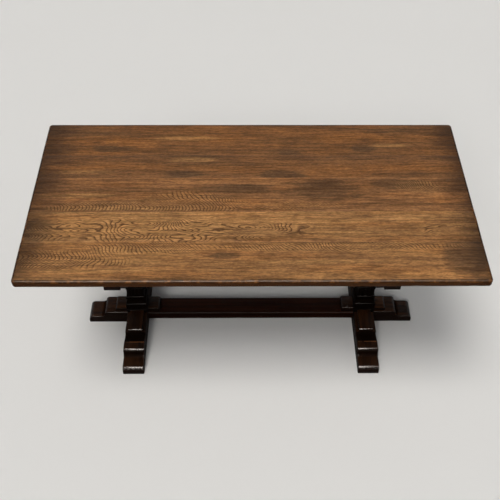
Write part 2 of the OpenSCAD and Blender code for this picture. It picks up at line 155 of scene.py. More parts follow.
def between(tree, mask, low, high):
    """Turns a mask of 0 to 1 into a number from low to high."""
    return ease(tree, mask, 0.0, 1.0, low, high)


def screen_colour(red, green, blue):
    """Linear colour with alpha from screen values of 0 to 255."""
    def linear(level):
        share = level / 255
        return share / 12.92 if share <= 0.04045 else ((share + 0.055) / 1.055) ** 2.4
    return (linear(red), linear(green), linear(blue), 1.0)


def blend(tree, share, first, second, mode="MIX"):
    """Mixes two colours."""
    node = tree.nodes.new("ShaderNodeMix")
    node.data_type = "RGBA"
    node.blend_type = mode
    feed(tree, node.inputs[0], share)
    feed(tree, node.inputs[6], first)
    feed(tree, node.inputs[7], second)
    return node.outputs[2]


def cover(tree, tone, colour, mask, strength):
    """Lays a colour over a tone where a mask is high, and nowhere more than its strength."""
    return blend(tree, times(tree, mask, strength), tone, colour)


def shade(tree, tone, mask, low, high):
    """Darkens or lightens a tone by a factor from low to high."""
    return blend(tree, 1.0, tone, between(tree, mask, low, high), "MULTIPLY")


print("a screen grey of 128 is", round(screen_colour(128, 128, 128)[0], 3), "in linear light")


# %% Patterns and groups
SLANT = (1.71, 0.93, 2.37)


def shifted(tree, vector, seed):
    """Moves a pattern far away along a slanted line, so that each seed gives another pattern."""
    step = tree.nodes.new("ShaderNodeVectorMath")
    step.operation = "SCALE"
    step.inputs[0].default_value = SLANT
    feed(tree, step.inputs["Scale"], seed)
    return vector_calc(tree, "ADD", vector, step.outputs[0])


def cloudy(tree, vector, stretch, detail, roughness):
    """Noise between 0 and 1, with one factor for each direction. A larger one makes it finer."""
    node = tree.nodes.new("ShaderNodeTexNoise")
    node.inputs["Scale"].default_value = 1.0
    node.inputs["Detail"].default_value = detail
    node.inputs["Roughness"].default_value = roughness
    feed(tree, node.inputs["Vector"], vector_calc(tree, "MULTIPLY", vector, stretch))
    return node.outputs["Fac"]


def swing(tree, vector, stretch, size, detail=2.0, roughness=0.5):
    """Noise around 0, by up to half its size to either side."""
    pattern = cloudy(tree, vector, stretch, detail, roughness)
    return times(tree, minus(tree, pattern, 0.5), size)


def new_group(name, inputs, outputs):
    """A group with named sockets, and the nodes at its two ends.

    Each input has its starting number, or None where it takes a vector. All outputs are numbers.
    """
    tree = bpy.data.node_groups.new(name, "ShaderNodeTree")
    for title, start in inputs.items():
        kind = "NodeSocketVector" if start is None else "NodeSocketFloat"
        socket = tree.interface.new_socket(title, in_out="INPUT", socket_type=kind)
        if start is not None:
            socket.default_value = start
    for title in outputs:
        tree.interface.new_socket(title, in_out="OUTPUT", socket_type="NodeSocketFloat")
    return tree, tree.nodes.new("NodeGroupInput").outputs, tree.nodes.new("NodeGroupOutput").inputs


def noise_group(name, layers):
    """A group with one noise for each layer, cut off softly below and above.

    A layer has its shift, the stretch in three directions, detail, roughness and the two cuts.
    """
    tree, given, result = new_group(name, {"Vector": None, "Seed": 0.0}, layers)
    spot = shifted(tree, given["Vector"], given["Seed"])
    for title, (shift, stretch, detail, roughness, low, high) in layers.items():
        moved = shifted(tree, spot, shift) if shift else spot
        pattern = cloudy(tree, moved, stretch, detail, roughness)
        tree.links.new(ease(tree, pattern, low, high), result[title])
    print("group:", name, "with", ", ".join(layers))
    return tree


def place_group(tree, group, **values):
    """Puts a group into a tree. A name with _ stands for a socket's name with a space."""
    node = tree.nodes.new("ShaderNodeGroup")
    node.node_tree = group
    for title, value in values.items():
        feed(tree, node.inputs[title.replace("_", " ")], value)
    return node.outputs


# %% Floor
FLOOR_HALF = 30
floor_bm = bmesh.new()
bmesh.ops.create_grid(floor_bm, x_segments=1, y_segments=1, size=FLOOR_HALF)
floor_mesh = bpy.data.meshes.new("floor")
floor_bm.to_mesh(floor_mesh)
floor_bm.free()
floor = bpy.data.objects.new("floor", floor_mesh)
bpy.context.scene.collection.objects.link(floor)

floor_paint = bpy.data.materials.new("pale floor")
floor_paint.use_nodes = True
paint = floor_paint.node_tree.nodes["Principled BSDF"]
paint.inputs["Base Color"].default_value = screen_colour(222, 221, 219)
paint.inputs["Roughness"].default_value = 0.85
paint.inputs["Specular IOR Level"].default_value = 0.2
floor_mesh.materials.append(floor_paint)
print("floor of", 2 * FLOOR_HALF, "m")

# %% Sky
# The sky lights the table softly from all sides. Only the eye and reflections see it pale, and only
# in a band above the horizon, so that a polished top doesn't turn grey with it
SKY_LIGHT, SKY_BAND = 0.2, 0.6
BAND_LOW, BAND_HIGH = 0.22, 0.5
world = bpy.data.worlds.new("studio")
bpy.context.scene.world = world
world.use_nodes = True
t = world.node_tree
sky = t.nodes["Background"]
sky.inputs["Color"].default_value = (0.95, 0.97, 1.0, 1.0)
ray = t.nodes.new("ShaderNodeLightPath").outputs
seen = calc(t, "MAXIMUM", ray["Is Camera Ray"], ray["Is Glossy Ray"])
seen = calc(t, "MAXIMUM", seen, ray["Is Transmission Ray"])
direction = split(t, t.nodes.new("ShaderNodeTexCoord").outputs["Generated"])
band = ease(t, direction[Z], BAND_LOW, BAND_HIGH, SKY_BAND, 0.0)
feed(t, sky.inputs["Strength"], plus(t, SKY_LIGHT, times(t, seen, band)))
print("sky:", SKY_LIGHT, "and", SKY_BAND, "more in its band")

# %% Lamps
DAYLIGHT = (1.0, 0.98, 0.95)


def add_sun(name, towards, angle, power):
    """Soft light from one side of the sky. angle is how wide the bright patch looks, in degrees."""
    data = bpy.data.lights.new(name, "SUN")
    data.angle = math.radians(angle)
    data.energy = power
    data.color = DAYLIGHT
    lamp = bpy.data.objects.new(name, data)
    lamp.rotation_euler = Vector(towards).to_track_quat("Z", "Y").to_euler()
    bpy.context.scene.collection.objects.link(lamp)


def add_window(name, place, target, width, height, power):
    """A bright panel that only shows as a reflection, like a window behind the camera."""
    data = bpy.data.lights.new(name, "AREA")
    data.shape = "RECTANGLE"
    data.size, data.size_y = width, height
    data.energy = power
    lamp = bpy.data.objects.new(name, data)
    lamp.location = place
    lamp.rotation_euler = (Vector(target) - Vector(place)).to_track_quat("-Z", "Y").to_euler()
    lamp.visible_diffuse = False
    bpy.context.scene.collection.objects.link(lamp)


add_sun("overhead", (-0.20, -0.22, 1.0), angle=26, power=1.75)
add_sun("front light", (-0.35, -1.0, 0.9), angle=20, power=0.95)
add_window("window", (-0.2, -2.6, 4.6), (-0.1, -0.2, 0.1), width=3.4, height=1.8, power=1500)
bpy.context.scene.view_settings.view_transform = "Standard"

# %% [markdown]
# ## Oak as node groups
# Oak shows its year rings where the saw cut them at a low angle. A board is then a map of a hilly
# field: the rings are its contour lines. Where the field is nearly flat they open out into arches,
# eyes and ripples, and where it is steep they close up into fine straight grain. The group below
# builds that field from an arch across the board, a ramp along it, soft hills and a fine wobble, and
# slices it into rings. All wood with rings uses it, each piece with its own values and seed.

# %% Year rings
SWAY, WOBBLE, LEAN = 0.07, 1.1 * MM, 0.35
RING_START, RING_DENSE, RING_END = 0.44, 0.86, 0.9
rings_group, given, result = new_group(
    "oak year rings",
    {
        "Vector": None, "Band": 0.0, "Spread": 0.03, "Slope": 0.4, "Hills": 0.012, "Ramp": 0.0,
        "Ring Width": 1.2 * MM, "Seed": 0.0,
    },
    ["Ring"],
)
t = rings_group
spot = shifted(t, given["Vector"], given["Seed"])
along, across, up = split(t, given["Vector"])
sway = swing(t, spot, (1.3, 0.4, 0.4), SWAY, 1.0)
from_band = minus(t, minus(t, across, given["Band"]), sway)
arch = calc(t, "SQRT", plus(t, calc(t, "POWER", from_band, 2.0), calc(t, "POWER", given["Spread"], 2.0)))
hills = swing(t, spot, (4.6, 13.0, 9.0), given["Hills"], 1.2, 0.4)
wobble = swing(t, spot, (34.0, 75.0, 75.0), WOBBLE)
field = plus(t, times(t, arch, given["Slope"]), plus(t, hills, times(t, along, given["Ramp"])))
field = plus(t, plus(t, field, wobble), times(t, up, LEAN))
phase = calc(t, "FRACT", calc(t, "DIVIDE", field, given["Ring Width"]))
# Each ring darkens slowly towards its dense side, and the next one starts pale again
line = times(t, ease(t, phase, RING_START, RING_DENSE), ease(t, phase, RING_END, 1.0, 1.0, 0.0))
t.links.new(line, result["Ring"])
print("group:", t.name, "with", len(t.nodes), "nodes")

# %% [markdown]
# Between the rings runs the fibre: long tonal streaks, finer threads, and the open pores that hold
# the dark stain as short dashes. Each is the same noise, drawn out along the grain by a different
# amount. Clouds are slower changes of tone, from heartwood, old polish and wear.

# %% Fibre, pores and clouds
fibre_group = noise_group("oak fibre", {
    "Streak": (0, (0.9, 62.0, 54.0), 3.0, 0.62, 0.22, 0.78),
    "Thread": (0, (6.5, 125.0, 112.0), 4.0, 0.78, 0.36, 0.64),
    "Fleck": (0, (75.0, 170.0, 160.0), 2.0, 0.6, 0.36, 0.64),
    "Dash": (0, (20.0, 230.0, 210.0), 2.0, 0.6, 0.54, 0.66),
    "Pore": (0, (42.0, 820.0, 700.0), 2.0, 0.5, 0.55, 0.68),
})
cloud_group = noise_group("age clouds", {
    "Cloud": (0, (1.1, 11.0, 9.0), 4.0, 0.6, 0.36, 0.66),
    "Blotch": (0, (5.5, 17.0, 13.0), 3.0, 0.6, 0.52, 0.74),
    "Warmth": (5.0, (2.2, 14.0, 9.0), 3.0, 0.6, 0.42, 0.66),
})

# %% Soft patches
# A patch is a soft, ragged oval on the board. It says where a board shows its rings or its stains
PATCH_CORE, PATCH_END, PATCH_RAGGED = 0.55, 1.2, 1.6
patch_group, given, result = new_group(
    "soft patch", {"Vector": None, "Place": None, "Size": None}, ["Patch"],
)
t = patch_group
offset = vector_calc(t, "SUBTRACT", given["Vector"], given["Place"])
distance = vector_calc(t, "LENGTH", vector_calc(t, "DIVIDE", offset, given["Size"]), output="Value")
ragged = swing(t, given["Vector"], (7.0, 22.0, 7.0), PATCH_RAGGED, 3.0, 0.6)
patch = ease(t, plus(t, distance, ragged), PATCH_CORE, PATCH_END, 1.0, 0.0)
t.links.new(patch, result["Patch"])
print("group:", t.name, "with", len(t.nodes), "nodes")

# %% [markdown]
# Hands and cloths take the polish off the sharp edges first. Each modelled piece carries a number on
# its faces, and this group turns it into pale rubbed patches, broken up with noise. The number is 0 on
# plain wood, 1 on rounded edges, and more on the ridge of a foot, whose pale wood is a painted highlight.
# In a deep hollow, darkened with dirt and painted shade, it is -1, and -2 in a shallow one that no cloth
# has polished.
# The top darkens the other way: its ends and sides have kept the old dark polish, and the middle is
# rubbed paler, so a second group measures how near a point lies to the rim of the top.

# %% Worn edges and painted glints
DULL, GRIME_AND_SHADE, PLAIN, WORN, RIDGE_GLINT = -2.0, -1.0, 0.0, 1.0, 2.0
# Wood is pale where the noise passes a limit, which sinks with the amount and further on a ridge marked for
# a painted highlight
TOP_LIMIT, AMOUNT_DROP, RIDGE_GLINT_DROP, SOFTNESS = 0.95, 0.9, 0.6, 0.14
rub_and_glint_group, given, result = new_group("rubbed edges and glints", {"Vector": None, "Edge": 0.0, "Amount": 0.5}, ["Rub"])
t = rub_and_glint_group
ragged = cloudy(t, given["Vector"], (38.0, 38.0, 38.0), 4.0, 0.6)
limit = minus(t, TOP_LIMIT, times(t, given["Amount"], AMOUNT_DROP))
limit = minus(t, limit, ease(t, given["Edge"], WORN, RIDGE_GLINT, 0.0, RIDGE_GLINT_DROP))
raised = ease(t, ragged, minus(t, limit, SOFTNESS), plus(t, limit, SOFTNESS))
t.links.new(calc(t, "MULTIPLY", raised, given["Edge"], clamp=True), result["Rub"])
print("group:", t.name, "with", len(t.nodes), "nodes")

# %% Dark rim of the top
# The old polish reaches far in from the two ends, and is narrow and thinner along the long sides
LEFT_REACH, RIGHT_REACH, SIDE_REACH, SIDE_SHARE, RIM_RAGGED = 0.18, 0.15, 0.035, 0.7, 0.14
rim_group, given, result = new_group("dark rim of the top", {"Vector": None}, ["Rim"])
t = rim_group
along, across, _ = split(t, given["Vector"])
uneven = swing(t, given["Vector"], (5.0, 9.0, 5.0), RIM_RAGGED, 4.0, 0.6)
from_left = plus(t, plus(t, along, HALF_LENGTH), uneven)
from_right = plus(t, minus(t, HALF_LENGTH, along), uneven)
from_side = plus(t, minus(t, HALF_WIDTH, calc(t, "ABSOLUTE", across)), uneven)
left_dark = ease(t, from_left, -0.02, LEFT_REACH, 1.0, 0.0)
right_dark = ease(t, from_right, -0.02, RIGHT_REACH, 1.0, 0.0)
side_dark = ease(t, from_side, -0.03, SIDE_REACH, SIDE_SHARE, 0.0)
darkest = calc(t, "MAXIMUM", calc(t, "MAXIMUM", left_dark, right_dark), side_dark)
t.links.new(darkest, result["Rim"])
print("group:", t.name, "with", len(t.nodes), "nodes")

# %% [markdown]
# ## The oak finishes
# Two finishes are mixed from the same groups. The top is rubbed honey brown in its middle and has a
# soft sheen, with painted shade on its rounded rim and sides. The base is stained nearly black, was
# polished for years, and shines on its edges, with paler wood where shoes and hands have rubbed it, upper
# faces paler partly as painted light, and painted shade on its sides, hollows and columns. The grain has to
# follow each piece, so a
# Mapping node turns the pattern until its X runs along the wood, and centres it on the piece.

# %% Steps of mixing a finish
TURN_TO_GRAIN = {X: (0, 0, 0), Y: (0, 0, -math.pi / 2), Z: (0, math.pi / 2, 0)}


def new_finish(name):
    material = bpy.data.materials.new(name)
    material.use_nodes = True
    return material, material.node_tree, material.node_tree.nodes["Principled BSDF"]


def grain_vector(tree, run, centre):
    """Object coordinates with the wood's length along X and the piece's centre at the origin.

    The coordinates as they were come second.
    """
    source = tree.nodes.new("ShaderNodeTexCoord").outputs["Object"]
    turn = tree.nodes.new("ShaderNodeMapping")
    angles = TURN_TO_GRAIN[run]
    to_grain = Matrix.Rotation(angles[Y], 3, "Y") @ Matrix.Rotation(angles[Z], 3, "Z")
    turn.inputs["Rotation"].default_value = angles
    turn.inputs["Location"].default_value = -(to_grain @ Vector(centre))
    tree.links.new(source, turn.inputs["Vector"])
    return turn.outputs[0], source


def face_mark_number(tree):
    """The number that the faces carry, from DULL to RIDGE_GLINT."""
    node = tree.nodes.new("ShaderNodeAttribute")
    node.attribute_name = "edge"
    return node.outputs["Fac"]


def upward(tree, start, end):
    """1 on faces that look up and 0 on those that look sideways or down."""
    normal = tree.nodes.new("ShaderNodeNewGeometry").outputs["Normal"]
    return ease(tree, split(tree, normal)[Z], start, end)


def ovals(tree, place, spots):
    """The strongest of several soft patches, given as x, y and the two half sizes in millimetres."""
    strongest = 0.0
    for number, (x, y, reach_x, reach_y) in enumerate(spots):
        size = (reach_x * MM, reach_y * MM, 9)
        spot = place_group(tree, patch_group, Vector=place, Place=(x * MM, y * MM, 0), Size=size)["Patch"]
        strongest = calc(tree, "MAXIMUM", strongest, spot) if number else spot
    return strongest


def set_surface(tree, shader, tone, roughness, polish, tint):
    tree.links.new(tone, shader.inputs["Base Color"])
    tree.links.new(roughness, shader.inputs["Roughness"])
    feed(tree, shader.inputs["Specular IOR Level"], polish)
    shader.inputs["Specular Tint"].default_value = tint


def add_relief(tree, shader, depth, *layers):
    """Fine relief from layers, each a mask and its share of the depth. A share below 0 sinks."""
    height = None
    for mask, share in layers:
        layer = times(tree, mask, share)
        height = layer if height is None else plus(tree, height, layer)
    bump = tree.nodes.new("ShaderNodeBump")
    bump.inputs["Distance"].default_value = depth
    bump.inputs["Strength"].default_value = 1.0
    tree.links.new(height, bump.inputs["Height"])
    tree.links.new(bump.outputs[0], shader.inputs["Normal"])


print("grain runs along", ", ".join("XYZ"[axis] for axis in TURN_TO_GRAIN))

# %% Finish of the top
# From the warmest rubbed wood to the old polish at the rim, with the painted shade of the rounded rim and
# of the sides
AMBER = screen_colour(170, 108, 52)
PALE_STREAK = screen_colour(186, 138, 84)
GREY_BROWN = screen_colour(72, 52, 34)
RING_STAIN = screen_colour(73, 44, 24)
SIDE_SHADE_BROWN = screen_colour(52, 25, 3)
OLD_POLISH_AND_SHADE = screen_colour(38, 22, 11)
WARM_POLISH = (1.0, 0.84, 0.7, 1.0)


def top_oak(name, rings, quiet, seed, honey, deep, figured, stained, bleached):
    """The finish of one board. quiet is how strongly its rings show outside the figured places.

    figured, stained and bleached are lists of soft ovals for the figure, stains and pale streaks.
    """
    material, tree, shader = new_finish(name)
    along, place = grain_vector(tree, X, (0, 0, 0))
    ring = place_group(tree, rings_group, Vector=along, Seed=seed, **rings)["Ring"]
    fibre = place_group(tree, fibre_group, Vector=along, Seed=seed)
    clouds = place_group(tree, cloud_group, Vector=along, Seed=seed)
    rim = place_group(tree, rim_group, Vector=place)["Rim"]
    worn = face_mark_number(tree)
    edge_paling = place_group(tree, rub_and_glint_group, Vector=place, Edge=worn, Amount=0.4)["Rub"]
    # Streaks of two tones, warmer in places, with stains and bleached streaks where the board has them
    tone = blend(tree, fibre["Streak"], screen_colour(*deep), screen_colour(*honey))
    tone = cover(tree, tone, AMBER, clouds["Warmth"], 0.45)
    stain = calc(tree, "MAXIMUM", times(tree, clouds["Cloud"], 0.5), ovals(tree, place, stained))
    tone = cover(tree, tone, GREY_BROWN, stain, 0.75)
    tone = cover(tree, tone, RING_STAIN, clouds["Blotch"], 0.35)
    tone = cover(tree, tone, PALE_STREAK, ovals(tree, place, bleached), 0.38)
    figure = between(tree, ovals(tree, place, figured), quiet, 0.88)
    tone = cover(tree, tone, PALE_STREAK, figure, 0.32)
    # Fine threads, flecks and dashes, then the rings: strong in the figured places, faint elsewhere
    tone = shade(tree, tone, fibre["Thread"], 0.66, 1.24)
    tone = shade(tree, tone, fibre["Fleck"], 0.84, 1.14)
    tone = cover(tree, tone, RING_STAIN, fibre["Dash"], 0.55)
    tone = cover(tree, tone, RING_STAIN, ring, figure)
    tone = cover(tree, tone, RING_STAIN, fibre["Pore"], 0.3)
    # Old polish has stayed at the rim. The rounded edge is darker still, partly from that polish and partly
    # as painted shade
    rounded = ease(tree, worn, 0.3, 0.9)
    tone = cover(tree, tone, OLD_POLISH_AND_SHADE, rim, 0.8)
    tone = cover(tree, tone, OLD_POLISH_AND_SHADE, rounded, 0.78)
    # The sides are painted darker as painted shade, the further they turn from facing up
    tone = blend(tree, between(tree, upward(tree, 0.3, 0.9), 0.92, 0.0), tone, SIDE_SHADE_BROWN)
    tone = cover(tree, tone, AMBER, edge_paling, 0.35)
    # The flat top has a satin sheen. Sleeves have polished the rounded rim, and the sides are dull
    satin = plus(tree, between(tree, fibre["Thread"], 0.36, 0.5), times(tree, ring, 0.06))
    satin = minus(tree, satin, times(tree, rounded, 0.1))
    polish = minus(tree, 0.13, times(tree, rounded, 0.04))
    polish = times(tree, polish, between(tree, upward(tree, 0.1, 0.6), 0.25, 1.0))
    set_surface(tree, shader, tone, satin, polish, WARM_POLISH)
    add_relief(tree, shader, 0.35 * MM, (ring, -0.5), (fibre["Pore"], -0.6), (fibre["Thread"], 0.25))
    return material


print("tones of the top; amber is", tuple(round(v, 3) for v in AMBER[:3]))

# %% Finish of the base
# Black-brown polish, the red-brown oak below it, and the pale oak of rubbed edges and of painted light on
# the upper faces. The stretcher has stayed redder than the feet, and the two darkest tones of the columns
# are painted shade from the top above them
BLACK_BROWN = screen_colour(13, 6, 3)
RED_BROWN = screen_colour(35, 15, 7)
PALE_OAK = screen_colour(104, 64, 34)
STRETCHER_RED = screen_colour(56, 22, 10)
SHADED_COLUMN_BROWN, SHADED_COLUMN_BLACK = screen_colour(15, 7, 4), screen_colour(6, 3, 2)
DARK_POLISH = (1.0, 0.93, 0.86, 1.0)
BASE_RINGS = {"Band": 0.012, "Spread": 0.008, "Slope": 0.6, "Hills": 0.007, "Ring_Width": 1.9 * MM}
# Each kind of piece starts its grain from a number of its own
SEEDS = {
    "bearer": 11, "corbel": 21, "column": 31, "long foot": 41, "cross foot": 46, "pad": 50,
    "stretcher": 71.5,
}


def base_oak(name, run, centre, seed, rubbed, pale_top=0.0, shine=0.15, dark=BLACK_BROWN, warm=RED_BROWN):
    """The dark finish of a piece of the base.

    rubbed is how far its rounded edges are bare. The number after it sets how much paler its upper faces
    are, partly as wear and partly as painted light.
    """
    material, tree, shader = new_finish(name)
    along, place = grain_vector(tree, run, centre)
    ring = place_group(tree, rings_group, Vector=along, Seed=seed, **BASE_RINGS)["Ring"]
    fibre = place_group(tree, fibre_group, Vector=along, Seed=seed)
    finer = vector_calc(tree, "MULTIPLY", along, (3.0, 3.0, 3.0))
    cloud = place_group(tree, cloud_group, Vector=finer, Seed=seed)["Cloud"]
    worn = face_mark_number(tree)
    edge_paling = place_group(tree, rub_and_glint_group, Vector=place, Edge=worn, Amount=rubbed)["Rub"]
    tone = blend(tree, fibre["Streak"], dark, warm)
    tone = cover(tree, tone, dark, cloud, 0.5)
    # Upper faces are paler, partly as wear and partly as painted light falling on them from above
    if pale_top > 0:
        top_paling = between(tree, cloud, pale_top, pale_top * 0.3)
        tone = cover(tree, tone, PALE_OAK, upward(tree, 0.8, 0.98), top_paling)
    tone = cover(tree, tone, dark, ring, 0.45)
    tone = cover(tree, tone, BLACK_BROWN, fibre["Pore"], 0.5)
    # The deep hollows are darkened and dulled, partly as wax and dust and partly as painted shade. The
    # shallow ones are dulled and only barely darker
    grime_and_shade = ease(tree, worn, GRIME_AND_SHADE, PLAIN, 1.0, 0.0)
    hollow_darkening = ease(tree, worn, DULL, GRIME_AND_SHADE, 0.1, 0.85)
    tone = cover(tree, tone, BLACK_BROWN, grime_and_shade, hollow_darkening)
    # The side faces are painted darker as painted shade, and are rougher and less shiny than the upper
    # faces, which years of polishing reached
    upper_faces = upward(tree, 0.3, 0.75)
    tone = blend(tree, between(tree, upper_faces, 0.45, 0.0), tone, dark)
    tone = blend(tree, edge_paling, tone, PALE_OAK)
    roughness = plus(tree, between(tree, fibre["Thread"], 0.14, 0.22), times(tree, grime_and_shade, 0.4))
    roughness = plus(tree, roughness, between(tree, upper_faces, 0.3, 0.0))
    polish = between(tree, upper_faces, shine * 0.12, shine)
    polish = times(tree, polish, between(tree, grime_and_shade, 1.0, 0.03))
    set_surface(tree, shader, tone, roughness, polish, DARK_POLISH)
    add_relief(tree, shader, 0.4 * MM, (ring, -0.4), (fibre["Pore"], -0.6), (fibre["Thread"], 0.3))
    return material


print("tones of the base; red brown is", tuple(round(v, 3) for v in RED_BROWN[:3]))

# %% [markdown]
# ## Shaping wood with bmesh
# A joiner starts from a planed blank, saws its outline and eases its sharp edges. The helpers do the
# same: a cube or a flat outline is extruded, its edges are bevelled, and the bevel faces are marked
# with the number that the finish reads as wear. Slices across a piece give it points along its
# length, and a slow noise presses these inwards a little, so that no edge stays ruler-straight.

# %% Blanks and outlines
SNAP = 1e-6
SAME = 1e-5


def near(value, target):
    return abs(value - target) < SAME


def both_at(a, b, axis, place):
    """Both points lie at one place along an axis."""
    return near(a[axis], place) and near(b[axis], place)


def new_blank():
    bm = bmesh.new()
    bm.faces.layers.float.new("edge")
    return bm


def add_box(bm, low, high):
    """A closed box between two corners."""
    low, high = Vector(low), Vector(high)
    shape = Matrix.Translation((low + high) / 2) @ Matrix.Diagonal((*(high - low), 1))
    bmesh.ops.create_cube(bm, size=1, matrix=shape)


def pull_out(bm, faces, move):
    """Extrudes faces and moves the new ones."""
    grown = bmesh.ops.extrude_face_region(bm, geom=faces)["geom"]
    bmesh.ops.translate(bm, verts=[g for g in grown if isinstance(g, bmesh.types.BMVert)], vec=move)


def add_bar(bm, outline, place, path):
    """Sweeps an outline into a closed bar. place turns (across, up) into a point in space."""
    face = bm.faces.new([bm.verts.new(place(a, z)) for a, z in outline])
    pull_out(bm, [face], path)
    bmesh.ops.recalc_face_normals(bm, faces=bm.faces[:])


def arc(centre, radius, start, end, steps):
    """Points on an arc, as (across, up), with angles in degrees."""
    angles = [math.radians(start + (end - start) * i / steps) for i in range(steps + 1)]
    return [(centre[0] + radius * math.cos(a), centre[1] + radius * math.sin(a)) for a in angles]


def mirrored(points):
    return [(-a, z) for a, z in reversed(points)]


print("points closer than", SAME, "m count as one place")


# %% Edges, slices and wear
SHARP_ANGLE = 32


def round_edges(bm, edges, radius, segments, mark):
    """Bevels edges and gives the new faces a worn number."""
    layer = bm.faces.layers.float["edge"]
    made = bmesh.ops.bevel(
        bm, geom=edges, offset=radius, offset_type="OFFSET", segments=segments, profile=0.5,
        affect="EDGES", clamp_overlap=True, material=-1,
    )
    for face in made["faces"]:
        face[layer] = mark


def ease_edges(bm, wanted, radius, segments=3, mark=WORN):
    """Rounds the edges that pass a test on their two end points."""
    edges = [e for e in bm.edges if wanted(e.verts[0].co, e.verts[1].co)]
    round_edges(bm, edges, radius, segments, mark)


def cut_across(bm, place, normal):
    """Cuts every face along a plane, without dividing the piece."""
    everything = bm.verts[:] + bm.edges[:] + bm.faces[:]
    bmesh.ops.bisect_plane(bm, geom=everything, plane_co=place, plane_no=normal, dist=SNAP)


def slice_along(bm, axis, start, end, gap):
    """Cuts across one axis at even gaps."""
    count = int((end - start) / gap)
    normal = Vector((axis == X, axis == Y, axis == Z))
    for i in range(1, count):
        cut_across(bm, normal * (start + (end - start) * i / count), normal)


def patchy(spot):
    """Slow noise between 0 and 1."""
    return 0.5 + 0.5 * noise.noise(spot)


def press_in(bm, depth, size, seed, keep):
    """Presses points inwards by up to depth, in patches of a size. keep names points that stay."""
    bm.normal_update()
    shift = Vector((seed * 3.7, seed * 1.3, seed * 2.1))
    moves = []
    for v in bm.verts:
        if not keep(v.co):
            moves.append((v, v.normal * depth * patchy(v.co / size + shift)))
    for v, move in moves:
        v.co -= move


def finish_piece(bm, name, material, slot, *nodes):
    """Turns a shaped blank into a piece of the table that stands for its CAD nodes."""
    sharp = math.radians(SHARP_ANGLE)
    for edge in bm.edges:
        edge.smooth = not (len(edge.link_faces) == 2 and edge.calc_face_angle(0) > sharp)
    for face in bm.faces:
        face.smooth = True
    mesh = bpy.data.meshes.new(name)
    bm.to_mesh(mesh)
    bm.free()
    mesh.materials.append(material)
    piece = bpy.data.objects.new(name, mesh)
    bpy.context.scene.collection.objects.link(piece)
    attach(piece, BODY)
    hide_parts(*nodes)
    print(name, len(mesh.polygons), "faces")


# %% [markdown]
# ## The five boards of the top
# The boards were chosen for their figure, and each shows it in another place: the back ones are
# straight and cloudy, and the front ones open into ripples and eyes. The rim of the whole top is
# rounded above and eased below. Each board has only its own part of that rim, and along a glued
# joint its edge has sunk by a hair, which draws the fine line that tells the boards apart.

# %% Board shapes
CORNER_RADIUS, RIM_RADIUS, LOWER_RADIUS = 14 * MM, 9 * MM, 4 * MM
SLICE_LENGTH, SLICE_WIDTH = 24 * MM, 22 * MM
SEAM_REACH, SEAM_SINK = 1.6 * MM, 0.5 * MM
FACE_WEAR, RIM_WEAR = 0.25 * MM, 0.9 * MM
FACE_WAVES, RIM_WAVES = 9, 7


def shape_board(node, seed):
    low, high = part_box(node)
    at_front, at_back = near(low.y, -HALF_WIDTH), near(high.y, HALF_WIDTH)
    joints = [y for y, outer in ((low.y, at_front), (high.y, at_back)) if not outer]

    def on_joint(a, b):
        return any(both_at(a, b, Y, y) for y in joints)

    def corner(a, b):
        return not near(a.z, b.z) and not on_joint(a, b)

    bm = new_blank()
    add_box(bm, low, high)
    if at_front or at_back:
        ease_edges(bm, corner, CORNER_RADIUS, 6, mark=PLAIN)
    for level, radius, segments in ((high.z, RIM_RADIUS, 6), (low.z, LOWER_RADIUS, 3)):
        ease_edges(bm, lambda a, b: both_at(a, b, Z, level) and not on_joint(a, b), radius, segments)
    slice_along(bm, X, low.x, high.x, SLICE_LENGTH)
    slice_along(bm, Y, low.y, high.y, SLICE_WIDTH)
    for y in joints:
        inside = y + math.copysign(SEAM_REACH, (low.y + high.y) / 2 - y)
        cut_across(bm, (0, inside, 0), (0, 1, 0))
    for v in bm.verts:
        if near(v.co.z, high.z):
            v.co.z -= FACE_WEAR * patchy(v.co * FACE_WAVES + Vector((seed, 0, 0)))
            v.co.z -= SEAM_SINK * any(near(v.co.y, y) for y in joints)
        # The rim wanders in and out by less than a millimetre, as planed and worn edges do
        for axis, half in ((X, HALF_LENGTH), (Y, HALF_WIDTH)):
            if abs(v.co[axis]) > half - CORNER_RADIUS:
                worn = RIM_WEAR * patchy(v.co * RIM_WAVES + Vector((0, seed, 3)))
                v.co[axis] -= math.copysign(worn, v.co[axis])
    return bm


